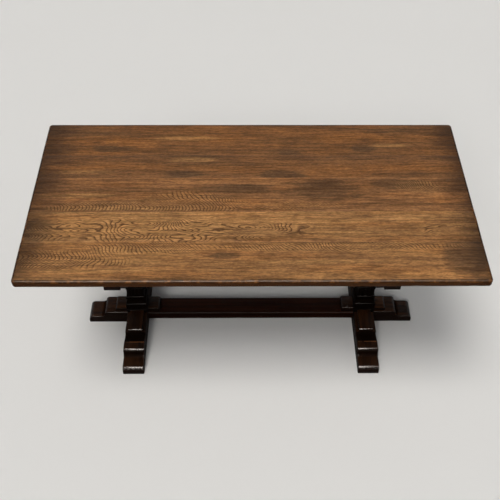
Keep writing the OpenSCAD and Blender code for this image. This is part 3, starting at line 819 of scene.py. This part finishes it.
# %% Board figures
# rings sets how the year rings run, honey and deep are the two tones, and the figured, stained and
# bleached places are ovals, each with its middle and half sizes in millimetres
BOARDS = {
    "back_edge_board": {
        "rings": {"Band": 0.33, "Spread": 0.02, "Slope": 0.55, "Hills": 0.01, "Ring_Width": 1.4 * MM},
        "quiet": 0.1, "seed": 3.1, "honey": (133, 88, 49), "deep": (98, 66, 38),
        "figured": [],
        "stained": [(157, 236, 60, 26), (455, 268, 60, 26), (-560, 262, 90, 22)],
        "bleached": [(570, 284, 100, 12), (-250, 330, 130, 14)],
    },
    "back_inner_board": {
        "rings": {"Band": 0.15, "Spread": 0.018, "Slope": 0.5, "Hills": 0.01, "Ring_Width": 1.4 * MM},
        "quiet": 0.1, "seed": 8.4, "honey": (140, 94, 54), "deep": (104, 70, 42),
        "figured": [],
        "stained": [(-268, 119, 90, 28), (120, 118, 110, 30)],
        "bleached": [(-640, 128, 140, 14), (-240, 200, 110, 18)],
    },
    "middle_board": {
        "rings": {
            "Band": -0.084, "Spread": 0.02, "Slope": 0.12, "Hills": 0.018, "Ramp": 0.1,
            "Ring_Width": 1.35 * MM,
        },
        "quiet": 0.06, "seed": 5.2, "honey": (163, 112, 68), "deep": (120, 82, 50),
        "figured": [(-230, -42, 240, 56), (-540, -58, 220, 26), (647, 44, 90, 40), (140, -56, 180, 24)],
        "stained": [(285, 25, 200, 60), (-60, 40, 150, 34), (560, 60, 160, 30)],
        "bleached": [(-660, 0, 170, 12), (-520, -70, 260, 9)],
    },
    "front_inner_board": {
        "rings": {
            "Band": -0.186, "Spread": 0.05, "Slope": 0.16, "Hills": 0.036, "Ramp": 0.05,
            "Ring_Width": 1.55 * MM,
        },
        "quiet": 0.14, "seed": 1.9, "honey": (196, 144, 88), "deep": (156, 109, 66),
        "figured": [(-340, -180, 560, 70), (130, -172, 90, 34), (672, -170, 60, 26)],
        "stained": [(-790, -170, 60, 60)],
        "bleached": [(-420, -160, 430, 74), (150, -140, 300, 9), (560, -120, 120, 8)],
    },
    "front_edge_board": {
        "rings": {
            "Band": -0.315, "Spread": 0.016, "Slope": 0.13, "Hills": 0.014, "Ramp": 0.1,
            "Ring_Width": 1.35 * MM,
        },
        "quiet": 0.08, "seed": 6.6, "honey": (188, 135, 80), "deep": (150, 104, 63),
        "figured": [(-690, -316, 230, 48), (-380, -262, 220, 32), (302, -260, 440, 26)],
        "stained": [(770, -300, 110, 110), (-100, -300, 70, 22)],
        "bleached": [(-560, -372, 260, 10), (-420, -300, 220, 40), (260, -330, 220, 9)],
    },
}
for name, board in BOARDS.items():
    oak = top_oak(name + " oak", **board)
    finish_piece(shape_board(name, board["seed"]), "worn_" + name, oak, "top_oak", name)

# %% [markdown]
# ## Bearers and corbels
# A bearer lies across the head of each pedestal, with its lower ends rounded and a long groove on
# each side for the buttons that hold the top. The corbels below it are sawn from thick oak: a blunt
# tip, a straight edge, a round belly and a cove that runs down to the column.

# %% Bearers
PEDESTAL = 504 * MM
SIDES = (("left", -1), ("right", 1))
EASED = 2.2 * MM
BEARER_END_RADIUS, BEARER_SLICE = 3 * MM, 40 * MM
GROOVE_LOW, GROOVE_HIGH, GROOVE_DEPTH, GROOVE_HALF = 712 * MM, 720 * MM, 10 * MM, 355 * MM


def shape_bearer(low, high, seed):
    def lower_end(a, b):
        return both_at(a, b, Z, low.z) and (both_at(a, b, Y, low.y) or both_at(a, b, Y, high.y))

    def outer_edge(a, b):
        return near(a.x, b.x) and not both_at(a, b, Z, high.z)

    def in_groove(point, side_x):
        within = abs(point.y) < GROOVE_HALF and GROOVE_LOW < point.z < GROOVE_HIGH
        return within and near(point.x, side_x)

    bm = new_blank()
    add_box(bm, low, high)
    ease_edges(bm, lower_end, BEARER_END_RADIUS, 5, mark=0.6 * WORN)
    ease_edges(bm, outer_edge, EASED)
    for y in (-GROOVE_HALF, GROOVE_HALF):
        cut_across(bm, (0, y, 0), (0, 1, 0))
    for z in (GROOVE_LOW, GROOVE_HIGH):
        cut_across(bm, (0, 0, z), (0, 0, 1))
    for side_x, inward in ((low.x, 1), (high.x, -1)):
        groove = [f for f in bm.faces if in_groove(f.calc_center_median(), side_x)]
        pull_out(bm, groove, (inward * GROOVE_DEPTH, 0, 0))
        bmesh.ops.delete(bm, geom=[f for f in groove if f.is_valid], context="FACES_ONLY")
    slice_along(bm, Y, low.y, high.y, BEARER_SLICE)
    press_in(bm, depth=0.2 * MM, size=0.1, seed=seed, keep=lambda p: near(p.z, high.z))
    return bm


for side, sign in SIDES:
    low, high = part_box(side + "_bearer")
    oak = base_oak(side + " bearer oak", Y, (low + high) / 2, SEEDS["bearer"] + sign, rubbed=0.2)
    finish_piece(shape_bearer(low, high, sign), f"worn_{side}_bearer", oak, "base_oak", side + "_bearer")

# %% Corbels
SHAFT_HALF = 35 * MM
CORBEL_END, CORBEL_TOP, CORBEL_TIP, CORBEL_TOE = 350 * MM, 654 * MM, 8 * MM, 10 * MM
CORBEL_ANGLE, BELLY_RADIUS, COVE_RADIUS = 54, 110 * MM, 120 * MM


def corbel_outline():
    """The outline of a back corbel as distance from the pedestal's centre and height."""
    angle = math.radians(CORBEL_ANGLE)
    turn = SHAFT_HALF + CORBEL_TOE + COVE_RADIUS
    belly_end = turn + BELLY_RADIUS * math.sin(angle)
    belly_low = (
        CORBEL_TOP - CORBEL_TIP - (CORBEL_END - belly_end) * math.tan(angle)
        - BELLY_RADIUS * (1 - math.cos(angle))
    )
    tip = [(CORBEL_END, CORBEL_TOP), (CORBEL_END, CORBEL_TOP - CORBEL_TIP)]
    belly = arc((turn, belly_low + BELLY_RADIUS), BELLY_RADIUS, -90 + CORBEL_ANGLE, -90, 14)
    cove = arc((turn, belly_low - COVE_RADIUS), COVE_RADIUS, 90, 180, 18)
    return [(SHAFT_HALF, CORBEL_TOP)] + tip + belly + cove[1:] + [(SHAFT_HALF, belly_low - COVE_RADIUS)]


def shape_corbel(low, high, way, seed):
    """A corbel that points to the front where way is -1, and to the back where it is 1."""
    seat = way * SHAFT_HALF

    def open_edge(a, b):
        return near(a.x, b.x) and not both_at(a, b, Z, CORBEL_TOP) and not both_at(a, b, Y, seat)

    bm = new_blank()
    add_bar(bm, corbel_outline(), lambda a, z: (low.x, way * a, z), (high.x - low.x, 0, 0))
    ease_edges(bm, open_edge, EASED)
    press_in(
        bm, depth=0.2 * MM, size=0.1, seed=seed, keep=lambda p: near(p.z, CORBEL_TOP) or near(p.y, seat),
    )
    return bm


for side, sign in SIDES:
    for face, way in (("front", -1), ("back", 1)):
        node = f"{side}_{face}_corbel"
        low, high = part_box(node)
        seed = SEEDS["corbel"] + 2 * sign + way
        oak = base_oak(f"{side} {face} corbel oak", Z, (low + high) / 2, seed, rubbed=0.2)
        finish_piece(shape_corbel(low, high, way, sign + way), "worn_" + node, oak, "base_oak", node)

# %% [markdown]
# ## Carved columns
# Each column is one square post. Its mouldings run round all four faces: a plinth block, a hollow
# neck and a bead, then a band of upright carved lobes, a flat collar, and the plain shaft with its
# chamfers stopped short of both ends. The square parts grow by extruding the top face again and
# again, with a new height, half width and corner cut each time. The lobes are rounded rods.

# %% Column profile
FOOT_TOP = 70 * MM
CRISP, CHAMFER = 1.2 * MM, 7 * MM
CHAMFER_LOW, CHAMFER_HIGH, CHAMFER_STOP = 255, 633, 5
NECK_LOW, NECK_HIGH = 133 * MM, 163 * MM
LOBE_LOW, LOBE_HIGH = 176 * MM, 224 * MM
LOBE_RADIUS, LOBE_SPREAD, LOBES = 11 * MM, 25 * MM, 4
LOBE_FOOT, LOBE_HEAD = 8 * MM, 6 * MM


def moulding_profile():
    """Half widths and heights from the lower tenon to the collar, in millimetres."""
    tenon = [(20, 18), (20, 70)]
    plinth = [(45, 70), (45, 87), (46.2, 87.3), (46.4, 89), (45.2, 90.5), (45, 127)]
    plinth_top = arc((40, 127), 5, 13, 78, 5) + [(41, 132)]
    neck = arc((49.25, 148), 16.25, 239.5, 120.5, 10) + [(41, 164)]
    bead = [(33, 164)] + arc((33, 170), 6, -75, 90, 8)
    band = [(30.5, 176), (30.5, 224)]
    collar = [(35, 224), (36, 225), (36, 233), (35, 234)]
    return tenon + plinth + plinth_top + neck + bead + band + collar


def column_steps():
    """Rows of height, half width and corner cut, from the tenon's foot up to the bearer."""
    rows = [(z * MM, half * MM, CRISP) for half, z in moulding_profile()]
    low, high = CHAMFER_LOW + CHAMFER_STOP, CHAMFER_HIGH - CHAMFER_STOP
    rows.append((CHAMFER_LOW * MM, SHAFT_HALF, CRISP))
    rows += [(z * MM, SHAFT_HALF, CHAMFER) for z in (low, *range(low + 30, high, 29), high)]
    return rows + [(CHAMFER_HIGH * MM, SHAFT_HALF, CRISP), (CORBEL_TOP, SHAFT_HALF, CRISP)]


print("a column has", len(column_steps()), "steps")


# %% Column shapes
TENON_HALF_X, TENON_HALF_Y, TENON_TOP = 14 * MM, 26 * MM, 694 * MM
COLUMN_MIDDLE = 340 * MM


def set_section(verts, centre_x, height, half, cut):
    """Puts the eight points of a section on a square with cut corners."""
    for v in verts:
        dx, dy = v.co.x - centre_x, v.co.y
        reach_x, reach_y = (half, half - cut) if abs(dx) > abs(dy) else (half - cut, half)
        v.co = (centre_x + math.copysign(reach_x, dx), math.copysign(reach_y, dy), height)


def mark_column(bm, centre_x):
    """The faces of the cut corners take the most rubbing, and the neck and the band are darkened with dirt
    and painted shade.
    """
    layer = bm.faces.layers.float["edge"]
    for face in bm.faces:
        middle = face.calc_center_median()
        on_diagonal = abs(abs(middle.x - centre_x) - abs(middle.y)) < 1 * MM
        if NECK_LOW < middle.z < NECK_HIGH or LOBE_LOW < middle.z < LOBE_HIGH:
            face[layer] = 0.9 * GRIME_AND_SHADE
        elif on_diagonal and abs(face.normal.z) < 0.9:
            face[layer] = WORN


def add_lobes(bm, centre_x):
    """A row of upright half-round lobes on every face, with rounded ends."""
    places = [-LOBE_SPREAD + 2 * LOBE_SPREAD * i / (LOBES - 1) for i in range(LOBES)]
    middle = (LOBE_LOW + LOBE_HIGH) / 2
    outer = [(x, y) for x in places for y in places if max(abs(x), abs(y)) > LOBE_SPREAD - CRISP]
    for x, y in outer:
        rod = bmesh.ops.create_cone(
            bm, cap_ends=True, segments=24, radius1=LOBE_RADIUS, radius2=LOBE_RADIUS,
            depth=LOBE_HIGH - LOBE_LOW, matrix=Matrix.Translation((centre_x + x, y, middle)),
        )["verts"]
        for level, radius in ((LOBE_LOW, LOBE_FOOT), (LOBE_HIGH, LOBE_HEAD)):
            around = {e for v in rod if v.is_valid for e in v.link_edges}
            rim = [e for e in around if both_at(e.verts[0].co, e.verts[1].co, Z, level)]
            # The rounded ends carry a small wear mark, which paints a pale highlight on their crests
            round_edges(bm, rim, radius, 5, mark=0.35 * WORN)


def shape_column(centre_x, seed):
    bm = new_blank()
    steps = column_steps()
    outline = [(1, 0.9), (0.9, 1), (-0.9, 1), (-1, 0.9), (-1, -0.9), (-0.9, -1), (0.9, -1), (1, -0.9)]
    top = bm.faces.new([bm.verts.new((centre_x + x, y, 0)) for x, y in outline])
    set_section(list(top.verts), centre_x, *steps[0])
    for step in steps[1:]:
        grown = bmesh.ops.extrude_face_region(bm, geom=[top])["geom"]
        if step is not steps[1]:
            # The first face closes the post below, and a later one would be a wall inside it
            bmesh.ops.delete(bm, geom=[top], context="FACES_ONLY")
        top = next(g for g in grown if isinstance(g, bmesh.types.BMFace))
        set_section(list(top.verts), centre_x, *step)
    bmesh.ops.recalc_face_normals(bm, faces=bm.faces[:])
    mark_column(bm, centre_x)
    press_in(
        bm, depth=0.25 * MM, size=0.08, seed=seed, keep=lambda p: p.z < FOOT_TOP + CRISP or p.z > LOBE_LOW,
    )
    add_lobes(bm, centre_x)
    add_box(
        bm, (centre_x - TENON_HALF_X, -TENON_HALF_Y, CORBEL_TOP - CRISP),
        (centre_x + TENON_HALF_X, TENON_HALF_Y, TENON_TOP),
    )
    return bm


for side, sign in SIDES:
    node = side + "_column"
    # The columns take the darkest tones, which are painted shade from the top above them
    oak = base_oak(
        side + " column oak", Z, (sign * PEDESTAL, 0, COLUMN_MIDDLE), SEEDS["column"] + sign, rubbed=0.1,
        shine=0.05, dark=SHADED_COLUMN_BLACK, warm=SHADED_COLUMN_BROWN,
    )
    finish_piece(shape_column(sign * PEDESTAL, sign), "carved_" + node, oak, "base_oak", node)

# %% [markdown]
# ## Feet, pads and stretcher
# The feet are sawn to one outline: a low toe with a round nose, an ogee rise with a wide hollow under
# a round shoulder, and the full height. The long foot has a hollow cut across it beside its pad. The
# two feet of a pedestal are halved over each other under the plinth. The pads are separate blocks
# that stand on the feet and on the stretcher's ends.

# %% Outlines of the feet
TOE_HEIGHT, TOE_LENGTH, NOSE = 37 * MM, 54 * MM, 22 * MM
RISE_HOLLOW, RISE_SHOULDER = 20 * MM, 16 * MM
LONG_REACH, OUTWARD_REACH = 320 * MM, 222 * MM
SCOTIA_INNER, SCOTIA_OUTER, SCOTIA_DEPTH = 152 * MM, 202 * MM, 12 * MM
HALVING_HALF, HALVING_HEIGHT = 45.15 * MM, 35 * MM
FOOT_HALF = 45 * MM


def toe(reach):
    """The outline of a foot's end, from the floor up to its full height."""
    radii = RISE_HOLLOW + RISE_SHOULDER
    steepest = math.degrees(math.acos(1 - (FOOT_TOP - TOE_HEIGHT) / radii))
    hollow_end = reach - TOE_LENGTH
    shoulder_start = hollow_end - radii * math.sin(math.radians(steepest))
    nose = arc((reach - NOSE, TOE_HEIGHT - NOSE), NOSE, 0, 90, 9)
    hollow = arc((hollow_end, TOE_HEIGHT + RISE_HOLLOW), RISE_HOLLOW, 270, 270 - steepest, 9)
    shoulder = arc((shoulder_start, FOOT_TOP - RISE_SHOULDER), RISE_SHOULDER, 90 - steepest, 90, 8)
    return [(reach, 0)] + nose + hollow + shoulder[1:]


def long_foot_outline():
    length = SCOTIA_OUTER - SCOTIA_INNER
    radius = (length ** 2 + SCOTIA_DEPTH ** 2) / (2 * SCOTIA_DEPTH)
    opening = math.degrees(math.asin(length / radius))
    scotia = arc((SCOTIA_INNER, FOOT_TOP - SCOTIA_DEPTH + radius), radius, -90 + opening, -90, 8)
    step = [(SCOTIA_INNER, FOOT_TOP), (HALVING_HALF, FOOT_TOP), (HALVING_HALF, HALVING_HEIGHT)]
    half = toe(LONG_REACH) + scotia + step
    return half + mirrored(half)


def cross_foot_outline():
    crossing = [(-FOOT_HALF, FOOT_TOP), (-FOOT_HALF, HALVING_HEIGHT), (HALVING_HALF, HALVING_HEIGHT)]
    return toe(OUTWARD_REACH) + crossing + [(HALVING_HALF, 0)]


print("points of a long foot:", len(long_foot_outline()), "and of a cross foot:", len(cross_foot_outline()))


# %% Feet
FOOT_EDGE, RIDGE_EDGE = 3.4 * MM, 3 * MM


def mark_feet(bm, across):
    """Marks the scotia as darkened by dirt and painted shade, and the hollow of the rise as dull."""
    layer = bm.faces.layers.float["edge"]
    for face in bm.faces:
        middle = face.calc_center_median()
        leans_back = abs(across(middle + face.normal * MM)) < abs(across(middle)) - 0.01 * MM
        hollowed = face.normal.z > 0.1 and TOE_HEIGHT + 0.2 * MM < middle.z < FOOT_TOP - 0.2 * MM
        if hollowed and leans_back:
            face[layer] = GRIME_AND_SHADE
        elif hollowed and middle.z < TOE_HEIGHT + 0.9 * RISE_HOLLOW:
            face[layer] = DULL


def shape_foot(outline, place, path, sideways, across, seed):
    """A foot swept from its outline. sideways and across measure a point over and along the foot."""
    def in_halving(p):
        return abs(across(p)) < HALVING_HALF + 1 * MM

    def ridge(a, b):
        beside_scotia = all(near(abs(across(p)), SCOTIA_OUTER) for p in (a, b))
        return beside_scotia and both_at(a, b, Z, FOOT_TOP)

    def side_edge(a, b):
        on_side = any(near(sideways(a), s) and near(sideways(b), s) for s in (-FOOT_HALF, FOOT_HALF))
        return on_side and not both_at(a, b, Z, 0) and not (in_halving(a) and in_halving(b))

    bm = new_blank()
    add_bar(bm, outline, place, path)
    mark_feet(bm, across)
    # The ridge beside the scotia is marked past WORN, so that it turns pale and stands in as a painted
    # highlight
    ease_edges(bm, ridge, RIDGE_EDGE, mark=1.5 * WORN)
    ease_edges(bm, side_edge, FOOT_EDGE, 4)
    press_in(bm, depth=0.25 * MM, size=0.09, seed=seed, keep=lambda p: p.z < 1 * MM or in_halving(p))
    return bm


for side, sign in SIDES:
    middle = sign * PEDESTAL
    centre = (middle, 0, FOOT_TOP / 2)
    node = side + "_sledge_foot"
    bm = shape_foot(
        long_foot_outline(), lambda a, z: (middle - FOOT_HALF, a, z), (2 * FOOT_HALF, 0, 0),
        sideways=lambda p: p.x - middle, across=lambda p: p.y, seed=sign,
    )
    oak = base_oak(side + " long foot oak", Y, centre, SEEDS["long foot"] + sign, 0.22, pale_top=0.16)
    finish_piece(bm, "worn_" + node, oak, "base_oak", node)
    node = side + "_cross_foot"
    bm = shape_foot(
        cross_foot_outline(), lambda a, z: (middle + sign * a, -FOOT_HALF, z), (0, 2 * FOOT_HALF, 0),
        sideways=lambda p: p.y, across=lambda p: p.x - middle, seed=sign + 3,
    )
    oak = base_oak(side + " cross foot oak", X, centre, SEEDS["cross foot"] + sign, 0.22, pale_top=0.2)
    finish_piece(bm, "worn_" + node, oak, "base_oak", node)

# %% Pads
PAD_EDGE, PAD_NOSE, PAD_SLICE = 4 * MM, 10 * MM, 12 * MM
# How pale the upper face of a pad is, partly as wear and partly as painted light (most on the outer pads),
# and how bare its edges are
PAD_PALENESS = {"front": (0.25, 0.25), "back": (0.2, 0.2), "outer": (0.4, 0.25), "inner": (0.15, 0.2)}


def shape_pad(low, high, away, seed):
    """A block with a round nose at its far end and eased upper edges along its sides."""
    axis = X if away.x else Y
    wall, far = (low[axis], high[axis]) if away[axis] > 0 else (high[axis], low[axis])
    lowest = low.z + 1 * MM

    def nose(a, b):
        return both_at(a, b, Z, high.z) and both_at(a, b, axis, far)

    def side_edge(a, b):
        flank = near(a[1 - axis], b[1 - axis]) and max(a.z, b.z) > lowest
        return flank and not (both_at(a, b, axis, far) and min(a.z, b.z) < lowest)

    bm = new_blank()
    add_box(bm, low, high)
    ease_edges(bm, nose, PAD_NOSE, 8, mark=0.6 * WORN)
    ease_edges(bm, side_edge, PAD_EDGE)
    slice_along(bm, axis, low[axis], high[axis], PAD_SLICE)
    press_in(
        bm, depth=0.3 * MM, size=0.06, seed=seed, keep=lambda p: p.z < lowest or near(p[axis], wall),
    )
    return bm


for side, sign in SIDES:
    directions = {"front": (0, -1, 0), "back": (0, 1, 0), "outer": (sign, 0, 0), "inner": (-sign, 0, 0)}
    for place, away in directions.items():
        node = f"{side}_{place}_pad"
        low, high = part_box(node)
        pale_top, rubbed = PAD_PALENESS[place]
        run, seed = X if away[X] else Y, SEEDS["pad"] + len(node) + sign
        oak = base_oak(f"{side} {place} pad oak", run, (low + high) / 2, seed, rubbed, pale_top)
        finish_piece(shape_pad(low, high, Vector(away), sign), "worn_" + node, oak, "pad_oak", node)

# %% Stretcher
STRETCHER_LOW, STRETCHER_HIGH, STRETCHER_HALF = 16 * MM, 62 * MM, 44 * MM
STRETCHER_ROUND, QUIRK, STRETCHER_BEVEL = 6 * MM, 2.5 * MM, 8 * MM
STRETCHER_REACH, STRETCHER_SLICE = PEDESTAL - FOOT_HALF, 20 * MM


def stretcher_outline():
    """Half round edges above, a fine quirk under them and bevels below."""
    quirk_height = STRETCHER_HIGH - STRETCHER_ROUND - 2 * QUIRK
    bevel = [
        (STRETCHER_HALF - STRETCHER_BEVEL, STRETCHER_LOW),
        (STRETCHER_HALF, STRETCHER_LOW + STRETCHER_BEVEL),
    ]
    quirk = arc((STRETCHER_HALF, quirk_height), QUIRK, 270, 90, 8)
    round_centre = (STRETCHER_HALF - STRETCHER_ROUND, STRETCHER_HIGH - STRETCHER_ROUND)
    half = bevel + quirk + arc(round_centre, STRETCHER_ROUND, 0, 90, 6)
    return half + mirrored(half)


bm = new_blank()
add_bar(bm, stretcher_outline(), lambda a, z: (-STRETCHER_REACH, a, z), (2 * STRETCHER_REACH, 0, 0))
layer = bm.faces.layers.float["edge"]
# The rounded, quirked and bevelled faces along its length are darkened and dulled as dirt and painted
# shade, the upper round less than the rest
for face in bm.faces:
    if abs(face.normal.x) < 0.5 and 0.05 < abs(face.normal.y) < 0.99:
        above = face.calc_center_median().z > STRETCHER_HIGH - STRETCHER_ROUND
        face[layer] = 0.5 * GRIME_AND_SHADE if above else GRIME_AND_SHADE
slice_along(bm, X, -STRETCHER_REACH, STRETCHER_REACH, STRETCHER_SLICE)
press_in(bm, depth=0.3 * MM, size=0.09, seed=5, keep=lambda p: near(abs(p.x), STRETCHER_REACH))
oak = base_oak(
    "stretcher oak", X, (0, 0, (STRETCHER_LOW + STRETCHER_HIGH) / 2), SEEDS["stretcher"], rubbed=0.15,
    pale_top=0.05, shine=0.05, warm=STRETCHER_RED,
)
finish_piece(bm, "worn_stretcher", oak, "base_oak", "stretcher")

# %% [markdown]
# ## Buttons, screws, pegs, dowels and tongues
# The small parts already have their true shape in the frame, so they keep it and only get a finish.
# Buttons and tongues were never polished. The pegs were trimmed flush and stained with the base.

# %% Finishes of the small parts
INNER_OAK, INNER_STREAK = screen_colour(160, 124, 86), screen_colour(120, 88, 58)


def plain_oak(name, run, pale, dark, seed):
    """Unpolished oak with fibre and pores."""
    material, tree, shader = new_finish(name)
    along, _ = grain_vector(tree, run, (0, 0, 0))
    fibre = place_group(tree, fibre_group, Vector=along, Seed=seed)
    finer = vector_calc(tree, "MULTIPLY", along, (6.0, 6.0, 6.0))
    cloud = place_group(tree, cloud_group, Vector=finer, Seed=seed)["Cloud"]
    tone = blend(tree, fibre["Streak"], dark, pale)
    tone = cover(tree, tone, dark, cloud, 0.5)
    tone = cover(tree, tone, dark, fibre["Pore"], 0.5)
    set_surface(tree, shader, tone, between(tree, fibre["Thread"], 0.5, 0.75), 0.15, (1.0, 1.0, 1.0, 1.0))
    add_relief(tree, shader, 0.3 * MM, (fibre["Pore"], -1.0))
    return material


def screw_steel(name):
    """Bright steel that has dulled in patches."""
    material, tree, shader = new_finish(name)
    place = tree.nodes.new("ShaderNodeTexCoord").outputs["Object"]
    patina = cloudy(tree, place, (160.0, 160.0, 160.0), 4.0, 0.6)
    bright, dulled = screen_colour(168, 166, 160), screen_colour(104, 92, 78)
    tree.links.new(blend(tree, ease(tree, patina, 0.35, 0.7), bright, dulled), shader.inputs["Base Color"])
    tree.links.new(ease(tree, patina, 0.3, 0.7, 0.32, 0.6), shader.inputs["Roughness"])
    shader.inputs["Metallic"].default_value = 1.0
    return material


SMALL_PARTS = {
    "top_buttons": plain_oak("button oak", X, screen_colour(142, 104, 68), screen_colour(96, 66, 42), 81),
    "board_tongues": plain_oak("tongue oak", X, INNER_OAK, INNER_STREAK, 82),
    "corbel_dowels": plain_oak("dowel oak", Z, INNER_OAK, INNER_STREAK, 83),
    "bearer_pegs": plain_oak("bearer peg oak", X, RED_BROWN, BLACK_BROWN, 84),
    "stretcher_pegs": plain_oak("stretcher peg oak", Z, PALE_OAK, RED_BROWN, 85),
    "button_screws": screw_steel("dulled screw steel"),
}
for node, finish in SMALL_PARTS.items():
    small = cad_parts[node]
    small.data.materials.clear()
    small.data.materials.append(finish)
    print(node, "has", finish.name)

# %% [markdown]
# ## Size of the dressed table
# The dressed table must stay inside the box of its measured frame, because wear only takes wood away.

# %% Update the scene
bpy.context.view_layer.update()
